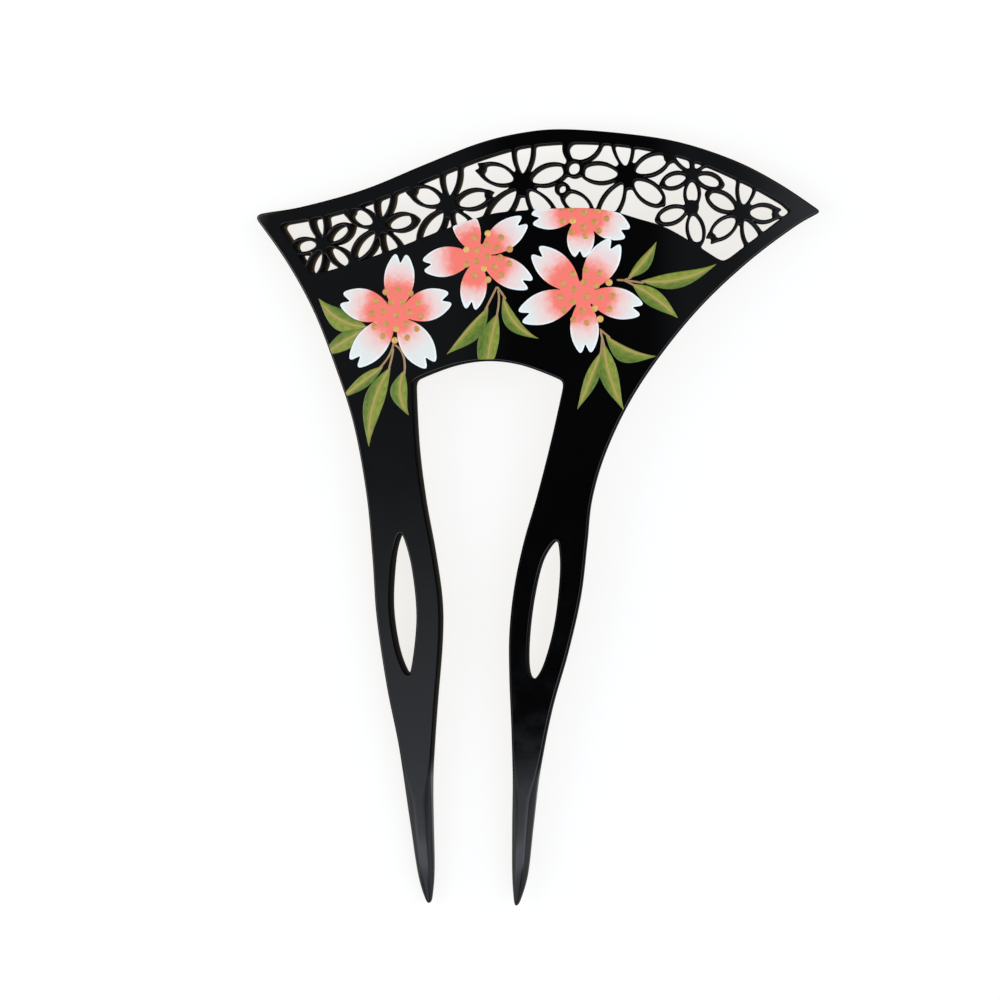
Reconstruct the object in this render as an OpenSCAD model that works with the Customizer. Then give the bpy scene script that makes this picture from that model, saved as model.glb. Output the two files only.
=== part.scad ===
/* [Plate] */
// Thickness of the carved plate
plate_t = 3.5; // [2.5:0.1:4.5]
// Radius of the gentle bow across the fan
bow_r = 240; // [180:5:400]
// Place of the bow's highest line across the fan
bow_x = 8; // [4:0.5:12]

/* [Pierced band] */
// Width of the ribs between the pierced petals
rib_w = 0.65; // [0.5:0.05:0.9]
// Width of a pierced petal as a share of its length
pierced_petal_share = 0.38; // [0.32:0.01:0.44]
// Radius of a pierced flower's solid heart as a share of its petals' length
heart_share = 0.22; // [0.18:0.01:0.26]
// Radius about a pierced flower's centre within which its petals' rims are joined, as a share of their length
web_share = 0.32; // [0.24:0.01:0.36]
// Radius of the knot behind some pierced petals' tips
knot_r = 0.6; // [0.4:0.05:0.8]
// Width of the short trunks that join tips to the band's edges
trunk_w = 1.1; // [0.7:0.1:1.5]

/* [Prong tips] */
// Radius at the very end of a prong
tip_r = 0.45; // [0.3:0.05:0.8]
// How far a rounded tip widens for each millimetre up the prong
tip_flare = 0.144; // [0.12:0.002:0.18]

/* [Raised decoration] */
// Height of the petals and leaves above the plate
paint_t = 0.15; // [0.1:0.01:0.3]
// Height of the stamens above the plate
stamen_t = 0.25; // [0.2:0.01:0.5]
// Radius of a stamen
stamen_r = 0.65; // [0.65:0.05:0.8]
// Width of the stems
stem_w = 0.4; // [0.4:0.05:0.6]

/* [Rest] */
// How far the plate leans when it lies on its back, in degrees
rest_pitch = 2.54; // [2:0.02:3.2]
// How far the plate's own zero stands above the surface when it lies
rest_lift = 3.955; // [3:0.005:4.6]

/* [Hidden] */
$fn = 180;
edge_steps = 5;
slot_steps = 5;
petal_steps = 2;
leaf_steps = 2;
ribbon_steps = 4;
plate_centre = [7.85, 72.4];
bow_foot = -1;
bow_length = 148;
bow_depth = 16;
bow_headroom = 2;

// Middle lines of the rounded prong ends
left_tip_foot = [-11.6, 0];
left_tip_top = [-12.6, 22];
right_tip_foot = [5.2, 0];
right_tip_top = [6.9, 22];
tip_box = 9;
tip_reach = 1.1;

// Pierced petals: where their arcs start and end as shares of the length
arc_start_share = 0.18;
arc_end_share = 1.12;
pierced_petal_count = 5;

// The paint keeps this far from the plate's left edges and the arch
paint_margin = 0.25;

// Outline, in millimetres from the line between the prongs and up from their tips
top_edge = [
    [-45.8, 129.8], [-45.1, 130.3], [-43, 130.6], [-36, 131.5], [-24, 134.3], [-12, 138.7], [-2, 142.3],
    [6, 144.1], [14, 144.7], [26, 143.7], [36, 142], [46, 138.6], [54, 134.4], [61.4, 129.4],
];
right_side = [
    [61.5, 129.1], [57, 126.5], [48.5, 120], [40, 112], [32.5, 103], [26.5, 94], [22, 84.5], [19.5, 76],
    [18.6, 68], [17.4, 58], [15, 47.5], [12, 37], [9.8, 26], [8.5, 15.5], [7.4, 6], [5.8, 0.7],
];
right_inner = [
    [5.3, 0.1], [4.8, 0.6], [4.4, 6], [4.5, 15], [4.7, 24], [4.5, 33], [4.1, 43], [4.1, 51], [5, 59.5],
    [6.8, 68], [9.3, 76.5], [12, 87], [14.2, 96.8],
];
arch = [
    [14.2, 97.4], [13.4, 98.3], [6.5, 100.9], [0, 101.8], [-6.5, 101], [-13.4, 98.6], [-14.2, 97.8],
];
left_inner = [
    [-14.3, 97], [-13.7, 86], [-12.4, 76], [-10.5, 66], [-9.2, 57], [-9.2, 49], [-10.2, 37], [-10.9, 26],
    [-10.8, 16], [-10.6, 6], [-11.1, 0.6],
];
left_side = [
    [-11.6, 0.1], [-12.2, 0.7], [-13.7, 5.5], [-15.2, 16], [-17, 29], [-19.5, 41], [-21.5, 54],
    [-22.3, 65], [-23.5, 77], [-26, 90], [-29.5, 100.5], [-34, 111.5], [-39.5, 121], [-45.8, 129.5],
];

// Eye-shaped slot in each prong
left_slot = [
    [-17.1, 69.4], [-18.3, 65], [-18.8, 56], [-17.6, 48], [-15.6, 43.3], [-14.6, 45], [-13.7, 54],
    [-14.6, 63], [-16.2, 68.8],
];
right_slot = [
    [12.7, 68.2], [10.3, 64.5], [8.6, 57.5], [7.7, 50], [7.7, 44.5], [8.7, 42.5], [10.6, 45.5], [12.6, 53],
    [13.6, 62], [13.4, 67.3],
];

// Edges of the pierced band
band_top = [
    [-40.4, 128.2], [-30, 129.8], [-19, 133], [-9, 136.7], [0, 139.8], [8, 141.6], [18, 142], [28, 141],
    [38, 138.6], [48, 134.3], [54.5, 130.7],
];
band_right = [[56, 129.3], [50, 124.6], [45, 120.7]];
band_bottom = [
    [43.9, 120.1], [42.6, 120.6], [38, 123.6], [33, 126.4], [28, 128], [23.5, 129.3], [18, 130],
    [11, 129.9], [5, 129.6], [0, 129], [-9, 126.2], [-18, 123], [-27, 120.2], [-33.6, 118.6],
];
band_left = [[-34.6, 118.8], [-37.5, 122.9], [-40.8, 127.7]];

// Kinds of tip of a pierced petal: plain, with a knot behind it, or notched
PLAIN = 0;
KNOT = 1;
NOTCH = 2;
// Half of a notched tip, along from the petal's reach and across
NOTCHED_TIP = [[-0.4, 0], [0, 0.55], [0.4, 1.2], [1.5, 0.7], [0.55, 0]];

// Pierced flowers: centre, petal length, then rows of petal angle, reach and kind of tip
FLOWER_AT = 0;
FLOWER_LENGTH = 1;
FLOWER_PETALS = 2;
PETAL_ANGLE = 0;
PETAL_REACH = 1;
PETAL_TIP = 2;
pierced_flowers = [
    [[-32.2, 124.2], 5.8, [
        [32, 5.7, KNOT], [104, 7, PLAIN], [183, 5.8, PLAIN], [248, 6.3, PLAIN], [322, 6.3, PLAIN],
    ]],
    [[-21, 127.3], 6.6, [
        [10, 6.4, KNOT], [80, 8, PLAIN], [154, 6.2, NOTCH], [230, 7.4, KNOT], [300, 8, PLAIN],
    ]],
    [[-7.6, 131], 7.5, [
        [12, 7.4, NOTCH], [86, 9, PLAIN], [158, 7.2, NOTCH], [232, 8.2, PLAIN], [306, 9, PLAIN],
    ]],
    [[6.5, 134.8], 8, [
        [17, 8, PLAIN], [88.5, 9.6, PLAIN], [160, 7.9, NOTCH], [228, 9.6, PLAIN], [308, 9.6, PLAIN],
    ]],
    [[26.1, 136], 8, [
        [24, 7.7, NOTCH], [98, 9.6, PLAIN], [174, 8, PLAIN], [240, 9.6, PLAIN], [322, 7.8, KNOT],
    ]],
    [[38.1, 136.1], 5.4, [
        [60, 6.5, PLAIN], [120, 6.5, PLAIN], [198, 5.2, KNOT], [270, 5.4, KNOT], [340, 5.2, KNOT],
    ]],
    [[47.2, 129], 6.8, [
        [-1, 5.9, NOTCH], [80, 8, PLAIN], [150, 6.6, KNOT], [220, 6.6, NOTCH], [294, 8, PLAIN],
    ]],
    [[38, 130], 6.3, [[200, 6.1, KNOT], [280, 6.5, KNOT]]],
    [[22.8, 143], 10, [[202, 7.9, PLAIN]]],
    [[20.6, 128.4], 7.6, [[146, 7.2, PLAIN]]],
];
// Small rings between the flowers: centre, radius of the hole
pierced_rings = [[[16.2, 137.4], 1.15], [[14, 133.6], 0.78]];
// Trunks that join tips to the band's edges: start, bend, end
pierced_trunks = [
    [[15, 142.4], [13.9, 140.9], [15.6, 138.8]],
    [[33.7, 141], [34, 139.6], [34.4, 138.4]],
    [[-26.8, 122], [-26.3, 121], [-25.7, 120]],
];

// Blossoms: centre, then rows of petal angle, petal length and petal width
petals_left = [[85.5, 11.4, 5.8], [16, 10.8, 5.8], [-55, 11.6, 6], [227, 12.3, 6], [163.5, 11.3, 6]];
petals_upper = [[112, 10, 4.9], [36.5, 11, 5.2], [-28.5, 11.3, 5.2], [262, 10, 4.9], [188.5, 10.6, 5.5]];
petals_right = [[137.5, 12, 5.8], [58, 11.4, 5.8], [-15.5, 11.3, 5.6], [-87, 11, 5.2], [199.5, 12.4, 5.9]];
petals_band = [[188, 9.6, 4.9], [266, 8.6, 5], [-26.5, 9.3, 5.4]];
centre_left = [-17.5, 110.6];
centre_upper = [-1.8, 121.3];
centre_right = [17.9, 114.1];
centre_band = [17.9, 129.4];

// Stamens: offset of their rings from the blossom's centre, then the outer and the inner ring as radius,
// number of stamens and angle of the first one
STAMENS_AT = 0;
STAMENS_OUTER = 1;
STAMENS_INNER = 2;
stamens_left = [[0, 0], [4.8, 12, -4], [2.6, 7, 11]];
stamens_upper = [[1.9, -0.1], [4.3, 10, 18], [2.3, 7, -5]];
stamens_right = [[0.7, -0.5], [4.9, 12, 1], [2.7, 7, -4]];
stamens_band = [[0.3, -0.3], [4.3, 10, 21], [2.6, 7, 9]];

// A petal's half outline, along and across as shares of its length and half width
PETAL_HALF = [
    [0, 0], [0.14, 0.36], [0.32, 0.78], [0.52, 1], [0.72, 0.97], [0.9, 0.7], [1, 0.4], [0.97, 0.22],
];
petal_notch_share = 0.84;
petal_root_r = 2.3;

// A leaf's half width along its length, both as shares
LEAF_HALF = [
    [0, 0], [0.125, 0.46], [0.25, 0.82], [0.375, 1], [0.5, 0.98], [0.625, 0.82], [0.75, 0.56],
    [0.875, 0.26], [1, 0],
];

// Leaves: base, tip, half width on the left and on the right of the way to the tip, bend to the left
LEAF_BASE = 0;
LEAF_TIP = 1;
LEAF_LEFT = 2;
LEAF_RIGHT = 3;
LEAF_BEND = 4;
leaf_rows_left_side = [
    [[-23.2, 108.4], [-33, 114.1], 2, 2, 1.45],
    [[-23.4, 108], [-32.7, 102.8], 1.7, 1.7, -0.2],
];
leaf_rows_left_foot = [
    [[-20, 101.1], [-28.8, 94.8], 1.3, 1.1, 0],
    [[-18.6, 100.9], [-22.9, 85.7], 1.85, 2, -1.4],
    [[-16, 100.2], [-15, 91.6], 1.45, 1.9, -1.3],
];
leaf_rows_middle = [
    [[0.2, 111.9], [-7.9, 103], 2.5, 0.4, 0],
    [[2, 110.7], [-0.5, 97], 1.5, 2.4, -0.4],
    [[3, 113.9], [9.9, 105.8], 0.9, 1.7, -1.6],
];
leaf_rows_right_side = [
    [[26.2, 116.9], [31.6, 123.8], 0.8, 1.5, -0.4],
    [[28.5, 116.4], [42.7, 119.6], 1.4, 1.6, -1.3],
    [[27, 115.9], [35.6, 109.4], 1.4, 1.8, 0.45],
];
leaf_rows_right_foot = [
    [[22.1, 106.5], [31.7, 102.5], 0.4, 2.5, -1],
    [[21.8, 105], [25.6, 92.4], 1.6, 1.8, -0.7],
    [[21.3, 103.4], [16.8, 92.5], 1.4, 1.1, 0.15],
];

// Stems: start, bend, end
stem_rows_left_foot = [
    [[-18, 106], [-18.1, 103.2], [-20.9, 100.6]],
    [[-18.1, 104.4], [-18.3, 102.8], [-19, 100.4]],
    [[-17.9, 105], [-15.4, 103.8], [-16, 99.2]],
];
stem_rows_middle = [
    [[1.8, 115.6], [1, 114], [-0.5, 111.1]],
    [[2, 115], [2.5, 113.4], [1.7, 109.8]],
    [[1.8, 115.6], [2.6, 114.6], [3.5, 113.2]],
];
stem_rows_right_side = [
    [[24.2, 116.6], [26, 116.6], [29.2, 116]],
    [[25.4, 116.6], [26.4, 116.2], [27.6, 115.5]],
    [[25.6, 116.6], [26.6, 116.8], [27.2, 117.4]],
];
stem_rows_right_foot = [
    [[21, 107.6], [21.4, 107.2], [23, 105.9]],
    [[21.2, 107.2], [21.6, 105.6], [22, 104]],
    [[21.5, 106], [21.5, 104.4], [21.2, 102.8]],
];

// Points of a smooth line through p, with its ends
function catmull(a, b, c, d, t) =
    0.5 * (2 * b + (c - a) * t + (2 * a - 5 * b + 4 * c - d) * t * t + (3 * b - a - 3 * c + d) * t * t * t);
function spline(p, steps) = [
    for (i = [0 : len(p) - 2], k = [0 : steps - 1])
        catmull(p[max(i - 1, 0)], p[i], p[i + 1], p[min(i + 2, len(p) - 1)], k / steps),
    p[len(p) - 1],
];
function closed_spline(p, steps) = [
    for (i = [0 : len(p) - 1], k = [0 : steps - 1])
        let (n = len(p))
            catmull(p[(i + n - 1) % n], p[i], p[(i + 1) % n], p[(i + 2) % n], k / steps),
];
function bow_z(x) = sqrt(bow_r * bow_r - (x - bow_x) * (x - bow_x)) - bow_r;
function edge(p) = spline(p, edge_steps);
// Middle line of a ribbon, a quadratic curve
function ribbon_middle(p) = [
    for (k = [0 : ribbon_steps])
        let (t = k / ribbon_steps)
            (1 - t) * (1 - t) * p[0] + 2 * t * (1 - t) * p[1] + t * t * p[2],
];
function beside(p, i, d) =
    let (along = p[min(i + 1, len(p) - 1)] - p[max(i - 1, 0)])
        p[i] + d * [-along[1], along[0]] / norm(along);
function reverse(p) = [for (i = [len(p) - 1 : -1 : 0]) p[i]];

// Plate seen flat
module outline_2d() {
    polygon(concat(
        edge(top_edge), edge(right_side), edge(right_inner), edge(arch), edge(left_inner), edge(left_side)
    ));
}

module band_2d() {
    polygon(concat(edge(band_top), edge(band_right), edge(band_bottom), edge(band_left)));
}

// Lens between two arcs, from radius a to radius b along +X, with the given half width
module lens_2d(a, b, half_w) {
    half_l = (b - a) / 2;
    arc_r = (half_l * half_l + half_w * half_w) / (2 * half_w);
    intersection() {
        translate([(a + b) / 2, half_w - arc_r]) circle(r = arc_r);
        translate([(a + b) / 2, arc_r - half_w]) circle(r = arc_r);
    }
}

module pierced_petal_hole_2d(length, reach) {
    difference() {
        intersection() {
            lens_2d(arc_start_share * length, arc_end_share * reach, pierced_petal_share * length / 2);
            circle(r = reach);
        }
        circle(r = heart_share * length);
    }
}

module pierced_petal_rim_2d(length, reach) {
    half_w = pierced_petal_share * length / 2 + rib_w;
    intersection() {
        lens_2d(arc_start_share * length - rib_w, arc_end_share * reach + rib_w, half_w);
        circle(r = reach + rib_w);
    }
}

module notched_tip_2d() {
    polygon(concat(NOTCHED_TIP, [for (p = reverse(NOTCHED_TIP)) if (p[1] > 0) [p[0], -p[1]]]));
}

module pierced_tip_2d(reach, kind) {
    translate([reach, 0]) {
        if (kind == KNOT) translate([knot_r, 0]) circle(r = knot_r);
        if (kind == NOTCH) notched_tip_2d();
    }
}

module pierced_flower_2d(row) {
    length = row[FLOWER_LENGTH];
    petals = row[FLOWER_PETALS];
    translate(row[FLOWER_AT]) {
        difference() {
            union() {
                for (p = petals) rotate(p[PETAL_ANGLE]) pierced_petal_rim_2d(length, p[PETAL_REACH]);
                if (len(petals) > 1) circle(r = heart_share * length);
                if (len(petals) == pierced_petal_count) circle(r = web_share * length);
            }
            for (p = petals) rotate(p[PETAL_ANGLE]) pierced_petal_hole_2d(length, p[PETAL_REACH]);
        }
        for (p = petals) rotate(p[PETAL_ANGLE]) pierced_tip_2d(p[PETAL_REACH], p[PETAL_TIP]);
    }
}

// What stays of the band: flowers, rings and trunks
module pierced_work_2d() {
    difference() {
        union() {
            for (row = pierced_flowers) pierced_flower_2d(row);
            for (row = pierced_rings) translate(row[0]) circle(r = row[1] + rib_w);
            for (row = pierced_trunks) ribbon_2d(row, trunk_w);
        }
        for (row = pierced_rings) translate(row[0]) circle(r = row[1]);
    }
}

module pierced_holes_2d() {
    difference() {
        band_2d();
        pierced_work_2d();
    }
}

module plate_2d() {
    difference() {
        outline_2d();
        polygon(closed_spline(left_slot, slot_steps));
        polygon(closed_spline(right_slot, slot_steps));
        pierced_holes_2d();
    }
}

// Blossoms and leaves seen flat
module petal_2d(angle, length, width) {
    side = [for (p = spline(PETAL_HALF, petal_steps)) [p[0] * length, p[1] * width / 2]];
    rotate(angle) polygon(concat(
        side, [[petal_notch_share * length, 0]], [for (p = reverse(side)) [p[0], -p[1]]]
    ));
}

module petals_2d(centre, petals) {
    translate(centre) {
        circle(r = petal_root_r);
        for (p = petals) petal_2d(p[0], p[1], p[2]);
    }
}

module blossom_2d(centre, petals) {
    intersection() {
        petals_2d(centre, petals);
        painted_area_2d();
    }
}

module stamen_ring_2d(row) {
    for (i = [0 : row[1] - 1])
        rotate(i * 360 / row[1] + row[2]) translate([row[0], 0]) circle(r = stamen_r);
}

module stamens_2d(centre, row) {
    intersection() {
        translate(centre + row[STAMENS_AT]) {
            circle(r = stamen_r);
            stamen_ring_2d(row[STAMENS_OUTER]);
            stamen_ring_2d(row[STAMENS_INNER]);
        }
        painted_area_2d();
    }
}

// Plate that the decoration may cover: below the pierced band and off the left edges and the arch
module painted_area_2d() {
    difference() {
        intersection() {
            outline_2d();
            translate([paint_margin, paint_margin]) outline_2d();
        }
        band_2d();
    }
}

// What the blossoms cover of the plate
module blossoms_2d() {
    blossom_2d(centre_left, petals_left);
    blossom_2d(centre_upper, petals_upper);
    blossom_2d(centre_right, petals_right);
    blossom_2d(centre_band, petals_band);
    stamens_2d(centre_left, stamens_left);
    stamens_2d(centre_upper, stamens_upper);
    stamens_2d(centre_right, stamens_right);
    stamens_2d(centre_band, stamens_band);
}

module leaf_2d(row) {
    base = row[LEAF_BASE];
    along = row[LEAF_TIP] - base;
    length = norm(along);
    shares = spline(LEAF_HALF, leaf_steps);
    last = len(shares) - 1;
    middle = [for (s = shares) [length * s[0], row[LEAF_BEND] * 4 * s[0] * (1 - s[0])]];
    translate(base) rotate(atan2(along[1], along[0])) polygon(concat(
        [for (i = [0 : last]) middle[i] + [0, row[LEAF_LEFT] * shares[i][1]]],
        [for (i = [last - 1 : -1 : 1]) middle[i] - [0, row[LEAF_RIGHT] * shares[i][1]]]
    ));
}

// Strip of an even width along a quadratic curve: start, bend, end
module ribbon_2d(row, width) {
    middle = ribbon_middle(row);
    polygon(concat(
        [for (i = [0 : ribbon_steps]) beside(middle, i, width / 2)],
        [for (i = [ribbon_steps : -1 : 0]) beside(middle, i, -width / 2)]
    ));
}

module spray_2d(leaf_rows, stem_rows) {
    difference() {
        intersection() {
            union() {
                for (row = leaf_rows) leaf_2d(row);
                for (row = stem_rows) ribbon_2d(row, stem_w);
            }
            painted_area_2d();
        }
        blossoms_2d();
    }
}

// Thickness between two levels of the bowed plate, over a flat shape
module bowed(low, high) {
    intersection() {
        translate([0, 0, -bow_depth]) linear_extrude(bow_depth + bow_headroom) children();
        translate([bow_x, bow_foot, -bow_r]) rotate([-90, 0, 0]) difference() {
            cylinder(r = bow_r + high, h = bow_length);
            translate([0, 0, -1]) cylinder(r = bow_r + low, h = bow_length + 2);
        }
    }
}

module at_rest() {
    translate([-plate_centre[0], -plate_centre[1], rest_lift]) rotate([rest_pitch, 0, 0]) children();
}

// What a prong loses near its end, where its section turns from a rectangle to a circle
module tip_waste(foot, top) {
    along = top - foot;
    length = tip_reach * norm(along);
    middle_z = (bow_z(foot[0]) + bow_z(top[0]) - plate_t) / 2;
    difference() {
        translate([foot[0] - tip_box / 2, bow_foot, middle_z - tip_box / 2])
            cube([tip_box, top[1] - bow_foot, tip_box]);
        translate([foot[0], foot[1], middle_z]) rotate([-90, 0, -atan2(along[0], along[1])])
            cylinder(r1 = tip_r, r2 = tip_r + tip_flare * length, h = length);
    }
}

module plate() {
    color("#16161a") at_rest() difference() {
        bowed(-plate_t, 0) plate_2d();
        tip_waste(left_tip_foot, left_tip_top);
        tip_waste(right_tip_foot, right_tip_top);
    }
}

// A blossom, without what its children cover
module blossom(centre, petals, stamens) {
    color("#f59a96") at_rest() {
        bowed(0, paint_t) difference() {
            blossom_2d(centre, petals);
            children();
        }
        bowed(0, stamen_t) stamens_2d(centre, stamens);
    }
}

module spray(leaf_rows, stem_rows) {
    color("#728c3a") at_rest() bowed(0, paint_t) spray_2d(leaf_rows, stem_rows);
}

module blossom_left() { blossom(centre_left, petals_left, stamens_left); }
module blossom_upper() { blossom(centre_upper, petals_upper, stamens_upper); }
module blossom_right() { blossom(centre_right, petals_right, stamens_right); }
module blossom_band() {
    blossom(centre_band, petals_band, stamens_band) petals_2d(centre_right, petals_right);
}
module leaves_left_side() { spray(leaf_rows_left_side, []); }
module leaves_left_foot() { spray(leaf_rows_left_foot, stem_rows_left_foot); }
module leaves_middle() { spray(leaf_rows_middle, stem_rows_middle); }
module leaves_right_side() { spray(leaf_rows_right_side, stem_rows_right_side); }
module leaves_right_foot() { spray(leaf_rows_right_foot, stem_rows_right_foot); }

plate();
blossom_left();
blossom_upper();
blossom_right();
blossom_band();
leaves_left_side();
leaves_left_foot();
leaves_middle();
leaves_right_side();
leaves_right_foot();
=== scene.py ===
"""A black lacquered hairpin with two prongs, a pierced band of flowers and raised blossoms with leaves."""

import math

import bpy
import numpy as np
from mathutils import Matrix, Vector
from mathutils.geometry import delaunay_2d_cdt
from mathutils.kdtree import KDTree


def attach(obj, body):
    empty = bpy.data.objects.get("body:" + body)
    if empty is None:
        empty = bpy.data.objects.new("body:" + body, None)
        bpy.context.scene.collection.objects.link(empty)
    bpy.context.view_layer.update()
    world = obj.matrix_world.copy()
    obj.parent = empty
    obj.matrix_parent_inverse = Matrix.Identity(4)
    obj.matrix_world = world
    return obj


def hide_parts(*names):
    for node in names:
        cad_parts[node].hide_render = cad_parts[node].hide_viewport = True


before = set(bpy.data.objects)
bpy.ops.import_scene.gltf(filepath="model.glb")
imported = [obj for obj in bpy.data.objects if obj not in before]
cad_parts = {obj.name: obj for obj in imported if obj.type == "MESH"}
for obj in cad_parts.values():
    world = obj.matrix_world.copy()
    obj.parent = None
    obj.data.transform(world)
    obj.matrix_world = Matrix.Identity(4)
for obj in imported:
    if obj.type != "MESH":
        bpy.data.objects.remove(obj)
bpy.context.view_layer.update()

MM = 0.001
BODY = "root"

# Plate, bow and rest, in millimetres and degrees, as in the part's source
PLATE_T = 3.5
BOW_R = 240.0
BOW_X = 8.0
REST_PITCH = math.radians(2.54)
REST_LIFT = 3.955
PLATE_CENTRE = (7.85, 72.4)
TIP_R = 0.45
TIP_FLARE = 0.144

# Pierced band, as in the part's source
RIB_W = 0.65
PIERCED_PETAL_SHARE = 0.38
HEART_SHARE = 0.22
WEB_SHARE = 0.32
KNOT_R = 0.6
TRUNK_W = 1.1
ARC_START_SHARE = 0.18
ARC_END_SHARE = 1.12
PIERCED_PETAL_COUNT = 5

# Raised decoration, as in the part's source
PETAL_NOTCH_SHARE = 0.84
PETAL_ROOT_R = 2.3
STAMEN_R = 0.65
STEM_W = 0.4
PAINT_MARGIN = 0.25

# Outline, in millimetres from the line between the prongs and up from their tips
TOP_EDGE = [
    (-45.8, 129.8), (-45.1, 130.3), (-43, 130.6), (-36, 131.5), (-24, 134.3), (-12, 138.7), (-2, 142.3),
    (6, 144.1), (14, 144.7), (26, 143.7), (36, 142), (46, 138.6), (54, 134.4), (61.4, 129.4),
]
RIGHT_SIDE = [
    (61.5, 129.1), (57, 126.5), (48.5, 120), (40, 112), (32.5, 103), (26.5, 94), (22, 84.5), (19.5, 76),
    (18.6, 68), (17.4, 58), (15, 47.5), (12, 37), (9.8, 26), (8.5, 15.5), (7.4, 6), (5.8, 0.7),
]
RIGHT_INNER = [
    (5.3, 0.1), (4.8, 0.6), (4.4, 6), (4.5, 15), (4.7, 24), (4.5, 33), (4.1, 43), (4.1, 51), (5, 59.5),
    (6.8, 68), (9.3, 76.5), (12, 87), (14.2, 96.8),
]
ARCH = [(14.2, 97.4), (13.4, 98.3), (6.5, 100.9), (0, 101.8), (-6.5, 101), (-13.4, 98.6), (-14.2, 97.8)]
LEFT_INNER = [
    (-14.3, 97), (-13.7, 86), (-12.4, 76), (-10.5, 66), (-9.2, 57), (-9.2, 49), (-10.2, 37), (-10.9, 26),
    (-10.8, 16), (-10.6, 6), (-11.1, 0.6),
]
LEFT_SIDE = [
    (-11.6, 0.1), (-12.2, 0.7), (-13.7, 5.5), (-15.2, 16), (-17, 29), (-19.5, 41), (-21.5, 54),
    (-22.3, 65), (-23.5, 77), (-26, 90), (-29.5, 100.5), (-34, 111.5), (-39.5, 121), (-45.8, 129.5),
]
LEFT_SLOT = [
    (-17.1, 69.4), (-18.3, 65), (-18.8, 56), (-17.6, 48), (-15.6, 43.3), (-14.6, 45), (-13.7, 54),
    (-14.6, 63), (-16.2, 68.8),
]
RIGHT_SLOT = [
    (12.7, 68.2), (10.3, 64.5), (8.6, 57.5), (7.7, 50), (7.7, 44.5), (8.7, 42.5), (10.6, 45.5), (12.6, 53),
    (13.6, 62), (13.4, 67.3),
]
BAND_TOP = [
    (-40.4, 128.2), (-30, 129.8), (-19, 133), (-9, 136.7), (0, 139.8), (8, 141.6), (18, 142), (28, 141),
    (38, 138.6), (48, 134.3), (54.5, 130.7),
]
BAND_RIGHT = [(56, 129.3), (50, 124.6), (45, 120.7)]
BAND_BOTTOM = [
    (43.9, 120.1), (42.6, 120.6), (38, 123.6), (33, 126.4), (28, 128), (23.5, 129.3), (18, 130),
    (11, 129.9), (5, 129.6), (0, 129), (-9, 126.2), (-18, 123), (-27, 120.2), (-33.6, 118.6),
]
BAND_LEFT = [(-34.6, 118.8), (-37.5, 122.9), (-40.8, 127.7)]

# Kinds of tip of a pierced petal: plain, with a knot behind it, or notched
PLAIN, KNOT, NOTCH = range(3)
# Half of a notched tip, along from the petal's reach and across
NOTCHED_TIP = [(-0.4, 0), (0, 0.55), (0.4, 1.2), (1.5, 0.7), (0.55, 0)]

# Pierced flowers: centre, petal length, then rows of petal angle, reach and kind of tip
PIERCED_FLOWERS = [
    ((-32.2, 124.2), 5.8, [
        (32, 5.7, KNOT), (104, 7, PLAIN), (183, 5.8, PLAIN), (248, 6.3, PLAIN), (322, 6.3, PLAIN),
    ]),
    ((-21, 127.3), 6.6, [
        (10, 6.4, KNOT), (80, 8, PLAIN), (154, 6.2, NOTCH), (230, 7.4, KNOT), (300, 8, PLAIN),
    ]),
    ((-7.6, 131), 7.5, [
        (12, 7.4, NOTCH), (86, 9, PLAIN), (158, 7.2, NOTCH), (232, 8.2, PLAIN), (306, 9, PLAIN),
    ]),
    ((6.5, 134.8), 8, [
        (17, 8, PLAIN), (88.5, 9.6, PLAIN), (160, 7.9, NOTCH), (228, 9.6, PLAIN), (308, 9.6, PLAIN),
    ]),
    ((26.1, 136), 8, [
        (24, 7.7, NOTCH), (98, 9.6, PLAIN), (174, 8, PLAIN), (240, 9.6, PLAIN), (322, 7.8, KNOT),
    ]),
    ((38.1, 136.1), 5.4, [
        (60, 6.5, PLAIN), (120, 6.5, PLAIN), (198, 5.2, KNOT), (270, 5.4, KNOT), (340, 5.2, KNOT),
    ]),
    ((47.2, 129), 6.8, [
        (-1, 5.9, NOTCH), (80, 8, PLAIN), (150, 6.6, KNOT), (220, 6.6, NOTCH), (294, 8, PLAIN),
    ]),
    ((38, 130), 6.3, [(200, 6.1, KNOT), (280, 6.5, KNOT)]),
    ((22.8, 143), 10, [(202, 7.9, PLAIN)]),
    ((20.6, 128.4), 7.6, [(146, 7.2, PLAIN)]),
]
# Small rings between the flowers: centre, radius of the hole
PIERCED_RINGS = [((16.2, 137.4), 1.15), ((14, 133.6), 0.78)]
# Trunks that join tips to the band's edges: start, bend, end
PIERCED_TRUNKS = [
    ((15, 142.4), (13.9, 140.9), (15.6, 138.8)),
    ((33.7, 141), (34, 139.6), (34.4, 138.4)),
    ((-26.8, 122), (-26.3, 121), (-25.7, 120)),
]

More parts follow.
